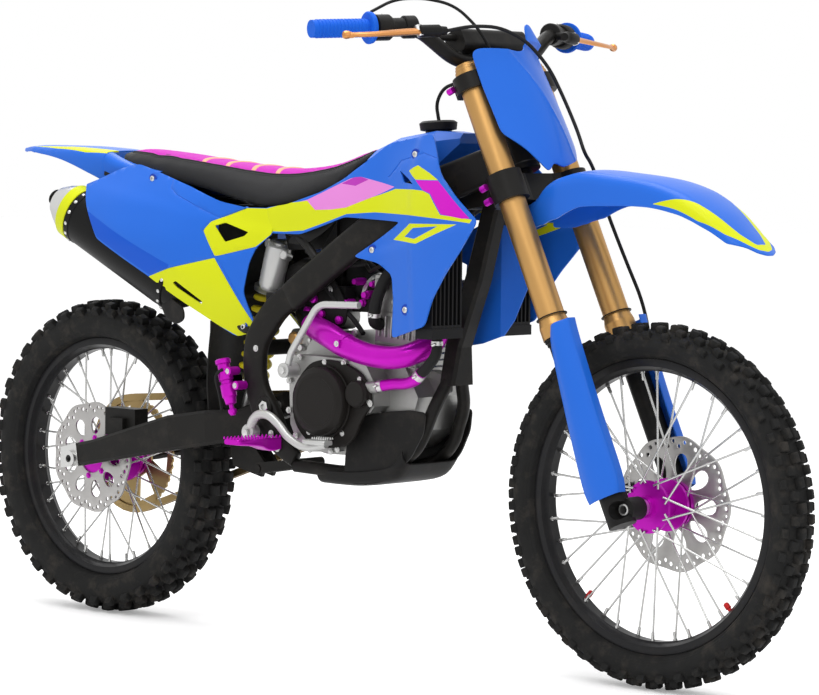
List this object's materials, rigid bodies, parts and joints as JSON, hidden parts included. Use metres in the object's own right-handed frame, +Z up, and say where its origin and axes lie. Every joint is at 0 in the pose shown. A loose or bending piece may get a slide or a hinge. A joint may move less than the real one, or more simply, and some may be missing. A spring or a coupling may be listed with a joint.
{
  "type": "dirt bike",
  "caption": "Off-road motorcycle with knobbly wheels, raked steering fork, open frame around an engine, flat bench seat and sharp blue and lime bodywork.",
  "frame": {"origin": "middle of the seat's top where the rider sits, 970 mm above the ground", "axes": "+X forward, +Y to the rider's left, +Z up; the steering stands straight ahead"},
  "size_m": [2.1695, 0.8348, 1.2996],
  "materials": {
    "tyre": "matt knobbly rubber",
    "rim_black": "satin black anodised",
    "hub_violet": "violet anodised",
    "spoke_steel": "bright drawn wire",
    "disc_steel": "ground",
    "sprocket_gold": "gold anodised",
    "fork_gold": "satin gold anodised",
    "fork_chrome": "hard chromed, with dark cast feet",
    "clamp_black": "satin black",
    "bar_steel": "grey bar with a black pad",
    "grip_blue": "ribbed",
    "lever_orange": "orange blades in blue and black perches",
    "panel_blue": "gloss moulded",
    "black_plastic": "moulded",
    "cable_black": "plain hose",
    "frame_black": "satin black",
    "cast_grey": "cast",
    "axle_steel": "turned",
    "spring_yellow": "painted wire",
    "shock_steel": "machined",
    "violet_metal": "violet anodised",
    "lever_silver": "forged",
    "muffler_black": "dark oval can",
    "cap_lime": "lime band with a bright end",
    "radiator_black": "finned core",
    "seat_cover": "black and violet ribbed cover",
    "chain_gold": "gold plates"
  },
  "bodies": {
    "chassis": {"main_frame": "frame_black", "lower_cradle": "frame_black", "subframe": "frame_black", "swingarm": "frame_black", "axle_blocks": "frame_black", "pivot_bolt": "axle_steel", "rear_axle": "axle_steel", "shock_absorber": "shock_steel", "shock_spring": "spring_yellow", "shock_linkage": "frame_black", "engine": "cast_grey", "clutch_cover": "clamp_black", "kick_starter": "lever_silver", "brake_pedal": "lever_silver", "gear_lever": "lever_silver", "footpegs": "violet_metal", "rear_master_cylinder": "violet_metal", "rear_caliper": "clamp_black", "exhaust_header": "violet_metal", "muffler": "muffler_black", "muffler_cap": "cap_lime", "airbox": "black_plastic", "mud_flap": "black_plastic", "radiators": "radiator_black", "air_guide": "panel_blue", "coolant_hoses": "violet_metal", "shrouds": "panel_blue", "fuel_tank": "black_plastic", "fuel_cap": "black_plastic", "vent_hose": "cable_black", "seat": "seat_cover", "side_panels": "panel_blue", "rear_fender": "panel_blue", "skid_plate": "black_plastic", "chain": "chain_gold"},
    "steering": {"fork_tubes": "fork_gold", "fork_sliders": "fork_chrome", "front_axle": "axle_steel", "triple_clamps": "clamp_black", "handlebar": "bar_steel", "grips": "grip_blue", "control_levers": "lever_orange", "number_plate": "panel_blue", "front_fender": "panel_blue", "fork_guards": "panel_blue", "front_caliper": "clamp_black", "control_cables": "cable_black"},
    "front_wheel": {"front_tyre": "tyre", "front_rim": "rim_black", "front_hub": "hub_violet", "front_spokes": "spoke_steel", "front_disc": "disc_steel"},
    "rear_wheel": {"rear_tyre": "tyre", "rear_rim": "rim_black", "rear_hub": "hub_violet", "rear_spokes": "spoke_steel", "rear_disc": "disc_steel", "rear_sprocket": "sprocket_gold"}
  },
  "joints": [
    {"name": "steering_turn", "type": "hinge", "parent": "chassis", "child": "steering", "pos_m": [0.8797, 0, -0.6419], "axis": [-0.4226, 0, 0.9063], "range_deg": [-45, 45]},
    {"name": "front_wheel_spin", "type": "hinge", "parent": "steering", "child": "front_wheel", "pos_m": [0.916, 0, -0.625], "axis": [0, 1, 0], "continuous": true},
    {"name": "rear_wheel_spin", "type": "hinge", "parent": "chassis", "child": "rear_wheel", "pos_m": [-0.57, 0, -0.632], "axis": [0, 1, 0], "continuous": true}
  ]
}
